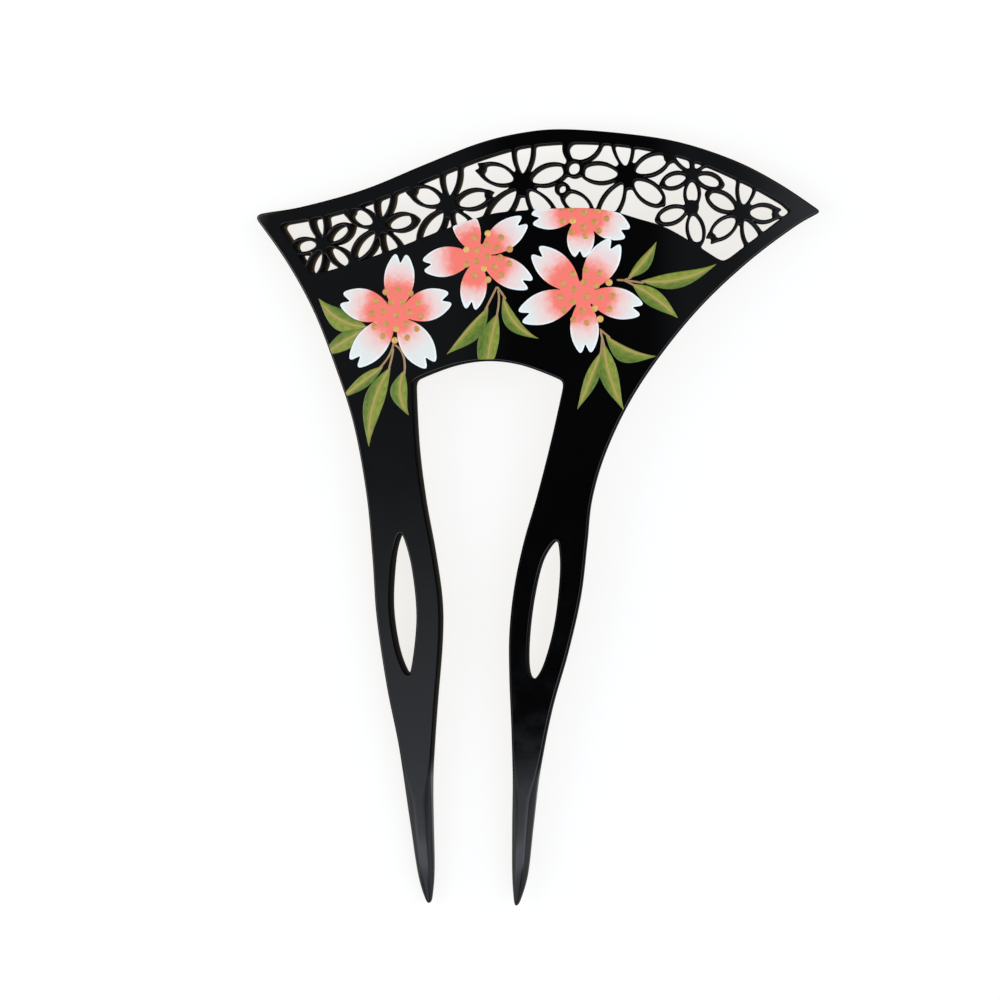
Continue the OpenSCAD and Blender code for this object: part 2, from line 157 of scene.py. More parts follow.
# Blossoms: centre, petals as (angle, length, width, share of the petal that is coral), then the stamens'
# offset and their outer and inner ring as (radius, number, angle of the first one)
BLOSSOMS = {
    "left": dict(
        centre=(-17.5, 110.6),
        petals=[
            (85.5, 11.4, 5.8, 0.53), (16, 10.8, 5.8, 0.52), (-55, 11.6, 6, 0.31), (227, 12.3, 6, 0.36),
            (163.5, 11.3, 6, 0.54),
        ],
        stamens=((0, 0), (4.8, 12, -4), (2.6, 7, 11)),
    ),
    "upper": dict(
        centre=(-1.8, 121.3),
        petals=[
            (112, 10, 4.9, 0.51), (36.5, 11, 5.2, 0.49), (-28.5, 11.3, 5.2, 0.53), (262, 10, 4.9, 0.57),
            (188.5, 10.6, 5.5, 0.55),
        ],
        stamens=((1.9, -0.1), (4.3, 10, 18), (2.3, 7, -5)),
    ),
    "right": dict(
        centre=(17.9, 114.1),
        petals=[
            (137.5, 12, 5.8, 0.56), (58, 11.4, 5.8, 0.49), (-15.5, 11.3, 5.6, 0.5), (-87, 11, 5.2, 0.46),
            (199.5, 12.4, 5.9, 0.46),
        ],
        stamens=((0.7, -0.5), (4.9, 12, 1), (2.7, 7, -4)),
    ),
    "band": dict(
        centre=(17.9, 129.4),
        petals=[(188, 9.6, 4.9, 0.52), (266, 8.6, 5, 0.55), (-26.5, 9.3, 5.4, 0.5)],
        stamens=((0.3, -0.3), (4.3, 10, 21), (2.6, 7, 9)),
    ),
}
# A petal's half outline, along and across as shares of its length and half width
PETAL_HALF = [(0, 0), (0.14, 0.36), (0.32, 0.78), (0.52, 1), (0.72, 0.97), (0.9, 0.7), (1, 0.4), (0.97, 0.22)]

# A leaf's half width along its length, both as shares
LEAF_HALF = [
    (0, 0), (0.125, 0.46), (0.25, 0.82), (0.375, 1), (0.5, 0.98), (0.625, 0.82), (0.75, 0.56), (0.875, 0.26),
    (1, 0),
]
# Sprays: leaves as (base, tip, half width on the left and on the right of the way to the tip, bend to the
# left) and stems as (start, bend, end)
SPRAYS = {
    "left_side": dict(
        leaves=[((-23.2, 108.4), (-33, 114.1), 2, 2, 1.45), ((-23.4, 108), (-32.7, 102.8), 1.7, 1.7, -0.2)],
        stems=[],
    ),
    "left_foot": dict(
        leaves=[
            ((-20, 101.1), (-28.8, 94.8), 1.3, 1.1, 0), ((-18.6, 100.9), (-22.9, 85.7), 1.85, 2, -1.4),
            ((-16, 100.2), (-15, 91.6), 1.45, 1.9, -1.3),
        ],
        stems=[
            ((-18, 106), (-18.1, 103.2), (-20.9, 100.6)), ((-18.1, 104.4), (-18.3, 102.8), (-19, 100.4)),
            ((-17.9, 105), (-15.4, 103.8), (-16, 99.2)),
        ],
    ),
    "middle": dict(
        leaves=[
            ((0.2, 111.9), (-7.9, 103), 2.5, 0.4, 0), ((2, 110.7), (-0.5, 97), 1.5, 2.4, -0.4),
            ((3, 113.9), (9.9, 105.8), 0.9, 1.7, -1.6),
        ],
        stems=[
            ((1.8, 115.6), (1, 114), (-0.5, 111.1)), ((2, 115), (2.5, 113.4), (1.7, 109.8)),
            ((1.8, 115.6), (2.6, 114.6), (3.5, 113.2)),
        ],
    ),
    "right_side": dict(
        leaves=[
            ((26.2, 116.9), (31.6, 123.8), 0.8, 1.5, -0.4), ((28.5, 116.4), (42.7, 119.6), 1.4, 1.6, -1.3),
            ((27, 115.9), (35.6, 109.4), 1.4, 1.8, 0.45),
        ],
        stems=[
            ((24.2, 116.6), (26, 116.6), (29.2, 116)), ((25.4, 116.6), (26.4, 116.2), (27.6, 115.5)),
            ((25.6, 116.6), (26.6, 116.8), (27.2, 117.4)),
        ],
    ),
    "right_foot": dict(
        leaves=[
            ((22.1, 106.5), (31.7, 102.5), 0.4, 2.5, -1), ((21.8, 105), (25.6, 92.4), 1.6, 1.8, -0.7),
            ((21.3, 103.4), (16.8, 92.5), 1.4, 1.1, 0.15),
        ],
        stems=[
            ((21, 107.6), (21.4, 107.2), (23, 105.9)), ((21.2, 107.2), (21.6, 105.6), (22, 104)),
            ((21.5, 106), (21.5, 104.4), (21.2, 102.8)),
        ],
    ),
}

# Spacing of the points along edges, and of those inside a sheet with how clear of its rim they stay
OUTLINE_STEP = 0.45
SLOT_STEP = 0.4
PIERCED_STEP = 0.3
PAINT_STEP = 0.25
STEM_STEP = 0.15
PLATE_GRID = 2.5
PAINT_GRID = 0.6
GRID_CLEAR_SHARE = 0.35
# An edge that lies wholly below this height, apart from the outline, is a slot's
SLOT_TOP_Y = 75

# Width of the rounded rims, and the largest share of the room inside an edge that one may take
OUTLINE_RIM = 0.4
SLOT_RIM = 0.4
PIERCED_RIM = 0.25
PAINT_RIM = 0.3
STEM_RIM = 0.2
RIM_ROOM = 0.85
# Turns of a rim's rings of points in degrees, and the turn up to which a rim counts as wall
RIM_ANGLES = (0, 22, 45, 68, 90)
STEEP = math.radians(70)
# Height of the plate's rounding at its front and back, as a share of the rim's width
FRONT_RISE = 0.6
BACK_RISE = 3.5

# Prong ends: height at which they start to turn round, rim at the very tip, height of its rounding as a
# share of the thickness, softness of the change to the tip's cone, share of the turn that smooths the walls
TIP_ROUND_Y = 30
TIP_RIM = 6
FULL_ROUND = 0.48
TIP_BLEND = 0.35
TIP_POLISHED = 0.12

# Wood that shows on the walls, together with a painted reflection of the pale floor towards their back edge:
# how far outside the band a wall is still the band's, how much elsewhere
WOOD_AND_SHEEN_REACH = 0.3
WOOD_AND_SHEEN_ELSEWHERE = 0.3

# Height of the paint over the plate, a little different from leaf to leaf, and how far it sinks in
PETAL_H = 0.13
LEAF_HEIGHTS = (0.1, 0.12, 0.14)
STEM_H = 0.17
STAMEN_H = 0.3
PAINT_SINK = 0.03
# Nearest that a point counts as being to its blossom's centre, and the turn of one behind the centre, both
# used to find the petal that a point lies on
PETAL_NEAR = 0.3
BEHIND = 1e6
# Share of a leaf's length at which its midrib ends, and over which it fades
RIB_END = 0.9
RIB_FADE = 0.12

# Smallest hole or patch that is kept, smallest gap between points, most pairs that are compared at once
SMALLEST_LOOP = 0.15
CDT_GAP = 1e-5
PAIRS_AT_ONCE = 4_000_000
# Guards: a rounding's least height, a step too short to count, least share of a gap that points ahead
LEAST_RISE = 1e-3
TINY_STEP = 1e-6
TINY_GAP = 1e-9
AHEAD_SHARE = 1e-4

# Colours of the lacquer and of the paint
CUT_BLACK = "0a0807"
# Browns of bare wood on the walls, which also stand in for a painted reflection of the pale floor
BARE_WOOD_AND_SHEEN = ("614f2f", "8a744a")
CORAL = "ff7d6f"
PINK = "fcaca2"
BLUSH = "f7d5d0"
PETAL_WHITE = "e9ede8"
RIM_WHITE = "f5fcfc"
DULL_GOLD = ("c98f4b", "d8a25c")
BRIGHT_GOLD = ("dba955", "e9bd6e")
LIGHT_GREEN = ("748627", "959d3a")
DARK_GREEN = ("4c681b", "677f24")
YELLOW_GREEN = "949537"
RIM_GREEN = "56702f"
RIB_TAN = "bb9c60"
STEM_TAN = ("99764c", "b59468")


# Flat geometry

def spline(points, steps=16, closed=False):
    """Points of a smooth line through the given ones."""
    p = np.array(points, float)
    count = len(p) if closed else len(p) - 1
    around = (lambda i: i % len(p)) if closed else (lambda i: min(max(i, 0), len(p) - 1))
    t = (np.arange(steps) / steps)[:, None]
    rows = []
    for i in range(count):
        a, b, c, d = (p[around(i + k)] for k in (-1, 0, 1, 2))
        cubic = (3 * b - a - 3 * c + d) * t**3
        rows.append(0.5 * (2 * b + (c - a) * t + (2 * a - 5 * b + 4 * c - d) * t**2 + cubic))
    if not closed:
        rows.append(p[-1:])
    return np.vstack(rows)


def joined(*parts):
    """Closed line that runs along several smooth ones, with a corner where two meet."""
    return np.vstack([spline(part) for part in parts])


def circle(centre, radius, count=36):
    a = np.linspace(0, 2 * math.pi, count, endpoint=False)
    return np.column_stack([np.cos(a), np.sin(a)]) * radius + centre


def turned(points, angle, centre=(0, 0)):
    """Points turned about zero by an angle in degrees, then moved to a centre."""
    c, s = math.cos(math.radians(angle)), math.sin(math.radians(angle))
    return np.asarray(points, float) @ np.array([[c, s], [-s, c]]) + centre


def within(points, outline):
    """Which points lie inside a closed line."""
    result = np.zeros(len(points), bool)
    near = np.where(((points > outline.min(0)) & (points < outline.max(0))).all(axis=1))[0]
    a, b = outline, np.roll(outline, -1, axis=0)
    rise = np.where(b[:, 1] == a[:, 1], 1, b[:, 1] - a[:, 1])
    for part in np.array_split(near, max(1, len(near) * len(outline) // PAIRS_AT_ONCE)):
        x, y = points[part, 0][:, None], points[part, 1][:, None]
        crossed = (a[:, 1] > y) != (b[:, 1] > y)
        at = (b[:, 0] - a[:, 0]) * (y - a[:, 1]) / rise + a[:, 0]
        result[part] = ((x < at) & crossed).sum(axis=1) % 2 == 1
    return result


def within_any(points, outlines):
    result = np.zeros(len(points), bool)
    for outline in outlines:
        result |= within(points, outline)
    return result


def area(loop):
    x, y = loop.T
    return 0.5 * float(np.sum(x * np.roll(y, -1) - np.roll(x, -1) * y))


def triangulate(points, edges):
    """Triangles over the points that keep the edges, with the index of each result point's first source."""
    found, _, faces, sources, _, _ = delaunay_2d_cdt([Vector(p) for p in points], edges, [], 0, CDT_GAP)
    co = np.array([v[:] for v in found])
    tri = np.array([f[:] for f in faces])
    a, b, c = (co[tri[:, k]] for k in range(3))
    cross = (b[:, 0] - a[:, 0]) * (c[:, 1] - a[:, 1]) - (b[:, 1] - a[:, 1]) * (c[:, 0] - a[:, 0])
    tri[cross < 0] = tri[cross < 0][:, ::-1]
    return co, tri, [s[0] if s else -1 for s in sources]


def region_loops(curves, inside):
    """Edges of the flat region where inside() holds, as closed lines with the region on their left."""
    points = np.vstack(curves)
    edges, start = [], 0
    for curve in curves:
        count = len(curve)
        edges += [(start + i, start + (i + 1) % count) for i in range(count)]
        start += count
    co, tri, _ = triangulate(points, edges)
    tri = tri[inside(co[tri].mean(axis=1))]
    sides = {(int(t[k]), int(t[(k + 1) % 3])) for t in tri for k in range(3)}
    onward = {}
    for a, b in sides:
        if (b, a) not in sides:
            onward.setdefault(a, []).append(b)
    loops = []
    while onward:
        first = at = next(iter(onward))
        loop = []
        while at in onward:
            loop.append(at)
            after = onward[at].pop()
            if not onward[at]:
                del onward[at]
            at = after
            if at == first:
                break
        loops.append(co[loop])
    return [loop for loop in loops if len(loop) > 3 and abs(area(loop)) > SMALLEST_LOOP]


def even(loop, spacing, softness=2):
    """The closed line with points at even spacing, softened so that its corners turn over a few points."""
    closed = np.vstack([loop, loop[:1]])
    at = np.concatenate([[0], np.cumsum(np.hypot(*np.diff(closed, axis=0).T))])
    count = max(8, round(at[-1] / spacing))
    places = np.linspace(0, at[-1], count, endpoint=False)
    points = np.column_stack([np.interp(places, at, closed[:, k]) for k in (0, 1)])
    for _ in range(softness):
        points = 0.5 * points + 0.25 * (np.roll(points, 1, axis=0) + np.roll(points, -1, axis=0))
    return points


# Outlines of the plate

def ribbon(row, width):
    """Outline of a strip of an even width along a quadratic curve."""
    a, b, c = (np.array(p, float) for p in row)
    t = np.linspace(0, 1, 16)[:, None]
    middle = (1 - t) ** 2 * a + 2 * t * (1 - t) * b + t**2 * c
    along = np.gradient(middle, axis=0)
    along /= np.hypot(*along.T)[:, None]
    side = np.column_stack([-along[:, 1], along[:, 0]]) * width / 2
    return np.vstack([middle + side, (middle - side)[::-1]])


def mirrored(side):
    """Closed line along a half outline and back along its mirror image."""
    return np.vstack([side, side[side[:, 1] > 0][::-1] * (1, -1)])


def pierced_petal(length, reach, grow):
    """Outline of a pierced petal: a lens whose far end follows a circle about the flower's centre."""
    start, end = ARC_START_SHARE * length - grow, ARC_END_SHARE * reach + grow
    half_w = PIERCED_PETAL_SHARE * length / 2 + grow
    half_l = (end - start) / 2
    arc_r = (half_l**2 + half_w**2) / (2 * half_w)
    x = np.linspace(start, end, 61)
    y = half_w - arc_r + np.sqrt(arc_r**2 - (x - start - half_l) ** 2)
    side = np.column_stack([x, y])[np.hypot(x, y) < reach + grow]
    far = np.linspace(math.atan2(side[-1, 1], side[-1, 0]), 0, 7)[1:]
    tip = np.column_stack([np.cos(far), np.sin(far)]) * (reach + grow)
    return mirrored(np.vstack([side, tip]))


def pierced_tip(reach, kind):
    if kind == KNOT:
        return circle((reach + KNOT_R, 0), KNOT_R)
    return mirrored(np.array(NOTCHED_TIP) + (reach, 0))


def pierced_flower(row):
    """Outlines of one pierced flower: what is solid, what is cut out of that, and what stands in the cuts."""
    centre, length, petals = row
    heart, web = (circle(centre, share * length) for share in (HEART_SHARE, WEB_SHARE))
    solid = [turned(pierced_petal(length, reach, RIB_W), angle, centre) for angle, reach, _ in petals]
    if len(petals) > 1:
        solid.append(heart)
    if len(petals) == PIERCED_PETAL_COUNT:
        solid.append(web)
    cut = [turned(pierced_petal(length, reach, 0), angle, centre) for angle, reach, _ in petals]
    tips = [turned(pierced_tip(reach, kind), angle, centre) for angle, reach, kind in petals if kind != PLAIN]
    return solid, cut, heart, tips


def in_flower(points, flower):
    solid, cut, heart, tips = flower
    open_part = within_any(points, cut) & ~within(points, heart)
    return within_any(points, solid) & ~open_part | within_any(points, tips)


def petal_outline(angle, length, width, centre):
    half = spline(PETAL_HALF, 10) * (length, width / 2)
    return turned(mirrored(np.vstack([half, [(PETAL_NOTCH_SHARE * length, 0)]])), angle, centre)


def blossom_curves(name):
    row = BLOSSOMS[name]
    petals = [petal_outline(angle, length, width, row["centre"]) for angle, length, width, _ in row["petals"]]
    return [circle(row["centre"], PETAL_ROOT_R)] + petals


OUTLINE = joined(TOP_EDGE, RIGHT_SIDE, RIGHT_INNER, ARCH, LEFT_INNER, LEFT_SIDE)
BAND = joined(BAND_TOP, BAND_RIGHT, BAND_BOTTOM, BAND_LEFT)
SLOTS = [spline(LEFT_SLOT, closed=True), spline(RIGHT_SLOT, closed=True)]
FLOWERS = [pierced_flower(row) for row in PIERCED_FLOWERS]
RING_HOLES = [circle(centre, hole_r) for centre, hole_r in PIERCED_RINGS]
RINGS = [circle(centre, hole_r + RIB_W) for centre, hole_r in PIERCED_RINGS]
TRUNKS = [ribbon(row, TRUNK_W) for row in PIERCED_TRUNKS]
PAINT_EDGE = OUTLINE + PAINT_MARGIN


def in_plate(points):
    kept = within_any(points, RINGS + TRUNKS)
    for flower in FLOWERS:
        kept |= in_flower(points, flower)
    kept &= ~within_any(points, RING_HOLES)
    whole = within(points, OUTLINE) & ~within_any(points, SLOTS)
    return whole & (kept | ~within(points, BAND))


def plate_curves():
    curves = [OUTLINE, BAND] + SLOTS + RINGS + RING_HOLES + TRUNKS
    for solid, cut, heart, tips in FLOWERS:
        curves += solid + cut + [heart] + tips
    return curves


# Sheets: a flat region in triangles, with rings of points inside its edge for a rounded rim

def room(points, inward):
    """Radius of the largest disc inside the sheet that touches its edge at each point."""
    result = np.full(len(points), np.inf)
    for part in np.array_split(np.arange(len(points)), max(1, len(points) ** 2 // PAIRS_AT_ONCE)):
        gap = points[None] - points[part][:, None]
        along = (gap * inward[part][:, None]).sum(axis=2)
        square = (gap**2).sum(axis=2)
        ahead = along > AHEAD_SHARE * np.sqrt(square) + TINY_GAP
        radius = square / (2 * np.maximum(along, TINY_GAP))
        result[part] = np.where(ahead, radius, np.inf).min(axis=1)
    return result


def calm(values, starts):
    """Edge values evened out along each closed line."""
    result = values.copy()
    for a, b in starts:
        v = result[a:b]
        v = np.minimum(v, np.minimum(np.roll(v, 1), np.roll(v, -1)))
        for _ in range(2):
            v = 0.5 * v + 0.25 * (np.roll(v, 1) + np.roll(v, -1))
        result[a:b] = v
    return result


def sheet(loops, rim, grid):
    """The region between closed lines as points and triangles. rim(points) gives the rounding's width."""
    edge = np.vstack(loops)
    ends = np.cumsum([len(loop) for loop in loops])
    starts = list(zip(np.concatenate([[0], ends[:-1]]), ends))
    inward = np.vstack([inward_of(loop) for loop in loops])
    width = calm(np.minimum(rim(edge), RIM_ROOM * room(edge, inward)), starts)
    points, angle, normal, reach = [edge], [np.zeros(len(edge))], [inward], [width]
    for degrees in RIM_ANGLES[1:]:
        turn = math.radians(degrees)
        points.append(edge + inward * (width * (1 - math.cos(turn)))[:, None])
        angle.append(np.full(len(edge), turn))
        normal.append(inward)
        reach.append(width)
    inner = grid_points(loops, edge, width, grid)
    points.append(inner)
    angle.append(np.full(len(inner), math.pi / 2))
    normal.append(np.zeros((len(inner), 2)))
    reach.append(np.ones(len(inner)))
    edges = [(i, i + 1 if i + 1 < b else a) for a, b in starts for i in range(a, b)]
    co, tri, source = triangulate(np.vstack(points), [(int(i), int(j)) for i, j in edges])
    tri = tri[inside_loops(co[tri].mean(axis=1), loops)]
    angle, normal, reach = np.concatenate(angle), np.vstack(normal), np.concatenate(reach)
    return dict(
        points=co, triangles=tri, edges=match(edges, source),
        angle=angle[source], inward=normal[source], width=reach[source],
    )


def inward_of(loop):
    """Unit vectors into the region at each point of a closed line that has it on the left."""
    along = np.roll(loop, -1, axis=0) - np.roll(loop, 1, axis=0)
    along /= np.hypot(*along.T)[:, None]
    return np.column_stack([-along[:, 1], along[:, 0]])


def grid_points(loops, edge, width, grid):
    """Even points inside the region, clear of its rim."""
    low, high = edge.min(0), edge.max(0)
    x, y = np.meshgrid(np.arange(low[0], high[0], grid), np.arange(low[1], high[1], grid))
    x[::2] += grid / 2
    points = np.column_stack([x.ravel(), y.ravel()])
    points = points[inside_loops(points, loops)]
    tree = KDTree(len(edge))
    for i, p in enumerate(edge):
        tree.insert((p[0], p[1], 0), i)
    tree.balance()
    clear = []
    for p in points:
        _, i, away = tree.find((p[0], p[1], 0))
        clear.append(away > width[i] + GRID_CLEAR_SHARE * grid)
    return points[np.array(clear, bool)] if len(points) else points


def inside_loops(points, loops):
    result = np.zeros(len(points), bool)
    for loop in loops:
        result ^= within(points, loop)
    return result


def match(edges, source):
    """Edges between source points as edges between the result's points."""
    place = {s: i for i, s in enumerate(source)}
    return np.array([(place[a], place[b]) for a, b in edges if a in place and b in place])


# Solids over the bow

def bowed(points, depth):
    """Plate coordinates of flat points at a depth under the bowed front, and the bow's two directions."""
    lean = (points[:, 0] - BOW_X) / BOW_R
    up = np.column_stack([lean, np.zeros(len(lean)), np.sqrt(1 - lean**2)])
    side = np.column_stack([up[:, 2], np.zeros(len(lean)), -lean])
    axis = np.column_stack([np.full(len(lean), BOW_X), points[:, 1], np.full(len(lean), -BOW_R)])
    return axis + up * (BOW_R - depth)[:, None], side, up


def at_rest(vectors, is_place=True):
    """Plate coordinates in millimetres to the frame's in metres. Directions only turn."""
    c, s = math.cos(REST_PITCH), math.sin(REST_PITCH)
    turn = np.array([(1, 0, 0), (0, c, -s), (0, s, c)])
    result = np.asarray(vectors, float) @ turn.T
    if is_place:
        result = (result + (-PLATE_CENTRE[0], -PLATE_CENTRE[1], REST_LIFT)) * MM
    return result


def solid(flat, top, bottom, rise, back_rise=None, slope=0.0):
    """Closed solid over a sheet, between two depths, with rims that are as high as rise and back_rise.
    slope is how fast the depths change up the plate."""
    back_rise = np.zeros(len(top)) if back_rise is None else back_rise
    sin, cos = np.sin(flat["angle"]), np.cos(flat["angle"])
    round_front = rise * (1 - sin)
    round_back = back_rise * (1 - sin)
    sides = []
    for depth, height, facing in ((top + round_front, rise, 1), (bottom - round_back, back_rise, -1)):
        place, side, up = bowed(flat["points"], depth)
        out = -flat["inward"] * (np.maximum(height, LEAST_RISE) * cos)[:, None]
        lift = flat["width"] * sin + TINY_STEP
        normal = side * out[:, :1] + np.array([(0, 1, 0)]) * (out[:, 1] - slope * lift)[:, None]
        normal = normal + up * (facing * lift)[:, None]
        normal /= np.linalg.norm(normal, axis=1)[:, None]
        sides.append((at_rest(place), at_rest(normal, is_place=False)))
    count = len(flat["points"])
    a, b = flat["edges"].T
    faces = [tuple(t) for t in flat["triangles"]]
    faces += [tuple(t + count) for t in flat["triangles"][:, ::-1]]
    faces += list(zip(a, a + count, b + count, b))
    steep = (flat["angle"][flat["triangles"]] < STEEP).all(axis=1)
    return dict(
        places=np.vstack([sides[0][0], sides[1][0]]),
        normals=np.vstack([sides[0][1], sides[1][1]]),
        faces=faces,
        on_wall=np.concatenate([steep, steep, np.ones(len(a), bool)]),
        facts={},
    )


def fused(solids):
    """Several solids as one."""
    faces, start = [], 0
    for one in solids:
        faces += [tuple(int(i) + start for i in face) for face in one["faces"]]
        start += len(one["places"])
    return dict(
        places=np.vstack([one["places"] for one in solids]),
        normals=np.vstack([one["normals"] for one in solids]),
        faces=faces,
        on_wall=np.concatenate([one["on_wall"] for one in solids]),
        facts={key: np.concatenate([one["facts"][key] for one in solids]) for key in solids[0]["facts"]},
    )


def piece(name, made, materials, slot, *nodes):
    """A mesh piece that stands for some of the part's nodes. The last material is the one of its walls."""
    mesh = bpy.data.meshes.new(name)
    mesh.from_pydata(made["places"].tolist(), [], [tuple(int(i) for i in face) for face in made["faces"]])
    for key, values in made["facts"].items():
        mesh.attributes.new(key, "FLOAT", "POINT").data.foreach_set("value", values.astype(np.float32))
    mesh.shade_smooth()
    mesh.normals_split_custom_set_from_vertices(made["normals"].tolist())
    for material in materials:
        mesh.materials.append(material)
    mesh.polygons.foreach_set("material_index", made["on_wall"].astype(np.int32) * (len(materials) - 1))
    thing = bpy.data.objects.new(name, mesh)
    bpy.context.scene.collection.objects.link(thing)
    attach(thing, BODY)
    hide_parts(*nodes)


# Materials

class Nodes:
    """Short ways to add nodes to a node tree."""

    def __init__(self, tree):
        self.tree = tree

    def node(self, kind, *sources, **settings):
        """A node whose first inputs come from sockets or plain values."""
        node = self.tree.nodes.new(kind)
        for key, value in settings.items():
            setattr(node, key, value)
        for socket, source in zip(node.inputs, sources):
            self.feed(socket, source)
        return node.outputs[0]

    def feed(self, socket, source):
        if source is None:
            return
        if isinstance(source, bpy.types.NodeSocket):
            self.tree.links.new(source, socket)
        else:
            socket.default_value = source

    def math(self, operation, a, b=0.0):
        return self.node("ShaderNodeMath", a, b, operation=operation)

    def fact(self, name):
        node = self.tree.nodes.new("ShaderNodeAttribute")
        node.attribute_name = name
        return node.outputs["Fac"]

    def step(self, value, low, high, out_low=0.0, out_high=1.0):
        """Smooth step of a value between two limits."""
        node = self.tree.nodes.new("ShaderNodeMapRange")
        node.interpolation_type = "SMOOTHSTEP"
        names = ("Value", "From Min", "From Max", "To Min", "To Max")
        for key, given in zip(names, (value, low, high, out_low, out_high)):
            self.feed(node.inputs[key], given)
        return node.outputs["Result"]

    def mix(self, factor, a, b):
        node = self.tree.nodes.new("ShaderNodeMix")
        node.data_type = "RGBA"
        node.clamp_factor = True
        self.feed(node.inputs["Factor"], factor)
        for socket, source in ((node.inputs[6], a), (node.inputs[7], b)):
            self.feed(socket, source if isinstance(source, bpy.types.NodeSocket) else (*source, 1))
        return node.outputs[2]

    def blend(self, factor, codes):
        """Mix of two web colours."""
        return self.mix(factor, *(rgb(code) for code in codes))

    def noise(self, per_mm, detail=2.0, roughness=0.5, stretch=None, place=None):
        """Noise with the given number of cells a millimetre, in object space if no place is given."""
        coordinates = place or self.tree.nodes.new("ShaderNodeTexCoord").outputs["Object"]
        if stretch is not None:
            coordinates = self.node("ShaderNodeVectorMath", coordinates, stretch, operation="MULTIPLY")
        node = self.tree.nodes.new("ShaderNodeTexNoise")
        self.feed(node.inputs["Vector"], coordinates)
        node.inputs["Scale"].default_value = per_mm / MM
        node.inputs["Detail"].default_value = detail
        node.inputs["Roughness"].default_value = roughness
        return node.outputs["Fac"]


class Shader(Nodes):
    """A node material with one principled shader."""

    def __init__(self, name, **settings):
        self.material = bpy.data.materials.new(name)
        self.material.use_nodes = True
        super().__init__(self.material.node_tree)
        self.surface = self.tree.nodes["Principled BSDF"]
        for key, value in settings.items():
            self.surface.inputs[key.replace("_", " ")].default_value = value

    def bump(self, height, strength, distance_mm):
        node = self.tree.nodes.new("ShaderNodeBump")
        node.inputs["Strength"].default_value = strength
        node.inputs["Distance"].default_value = distance_mm * MM
        self.feed(node.inputs["Height"], height)
        self.feed(self.surface.inputs["Normal"], node.outputs["Normal"])


def rgb(code):
    """Linear colour of a six-digit web colour."""
    parts = [int(code[i:i + 2], 16) / 255 for i in (0, 2, 4)]
    return tuple(c / 12.92 if c <= 0.04045 else ((c + 0.055) / 1.055) ** 2.4 for c in parts)


def lacquer():
    """Polished black lacquer."""
    shader = Shader("black_lacquer", IOR=1.5)
    black = shader.mix(shader.noise(0.08, 3), (0.0012, 0.0012, 0.0013), (0.002, 0.002, 0.0022))
    shader.feed(shader.surface.inputs["Base Color"], black)
    shader.feed(shader.surface.inputs["Roughness"], shader.step(shader.noise(0.25, 4), 0.3, 0.7, 0.04, 0.08))
    shader.bump(shader.noise(0.5, 1), 0.08, 0.02)
    return shader.material


def wall_lacquer():
    """Dull lacquer on the cut walls, black at the front and brown at the back, smoother on the tips. The
    brown is partly bare wood and partly a painted reflection of the pale floor, growing towards the back.
    """
    shader = Shader("wall_lacquer", IOR=1.5)
    tip = shader.fact("tip")
    grain = shader.noise(0.9, 3, stretch=(1, 0.3, 1))
    brown = shader.blend(grain, BARE_WOOD_AND_SHEEN)
    # The brown towards the back of the walls is bare wood and a painted reflection of the pale floor
    share = shader.math("MULTIPLY", shader.step(shader.fact("depth"), 0.3, 1), shader.fact("bare"))
    shader.feed(shader.surface.inputs["Base Color"], shader.mix(share, rgb(CUT_BLACK), brown))
    shader.feed(shader.surface.inputs["Roughness"], shader.step(tip, 0, 1, 0.7, 0.4))
    shader.feed(shader.surface.inputs["Specular IOR Level"], shader.step(tip, 0, 1, 0.02, 0.25))
    shader.bump(grain, 0.15, 0.03)
    return shader.material


def blossom_paint():
    """Coral at the heart that fades in soft patches through pink to bluish white, with a white rim."""
    shader = Shader("blossom_paint", Roughness=0.38, IOR=1.45)
    cloud = shader.math("SUBTRACT", shader.noise(0.6, 8, 0.75), 0.5)
    along = shader.math("ADD", shader.fact("along"), shader.math("MULTIPLY", cloud, 0.42))
    past = shader.math("SUBTRACT", along, shader.fact("reach"))
    pale = shader.mix(shader.step(past, 0.12, 0.46), rgb(BLUSH), rgb(PETAL_WHITE))
    pink = shader.mix(shader.step(past, 0.0, 0.2), rgb(PINK), pale)
    body = shader.mix(shader.step(past, -0.08, 0.08), rgb(CORAL), pink)
    rim = shader.step(shader.fact("edge"), 0.12, 0.45, 1, 0)
    rim = shader.math("MULTIPLY", rim, shader.step(past, 0.02, 0.25, 0, 0.9))
    shader.feed(shader.surface.inputs["Base Color"], shader.mix(rim, body, rgb(RIM_WHITE)))
    shader.bump(shader.noise(1.4, 3), 0.1, 0.03)
    return shader.material


def stamen_paint():
    """Gold paint in small drops, duller over the petals."""
    shader = Shader("stamen_paint", Roughness=0.4, IOR=1.45)
    patches = shader.step(shader.noise(0.9, 2), 0.35, 0.65)
    dull, bright = shader.blend(patches, DULL_GOLD), shader.blend(patches, BRIGHT_GOLD)
    shader.feed(shader.surface.inputs["Base Color"], shader.mix(shader.fact("bare"), dull, bright))
    shader.bump(shader.noise(2.5, 2), 0.15, 0.03)
    return shader.material


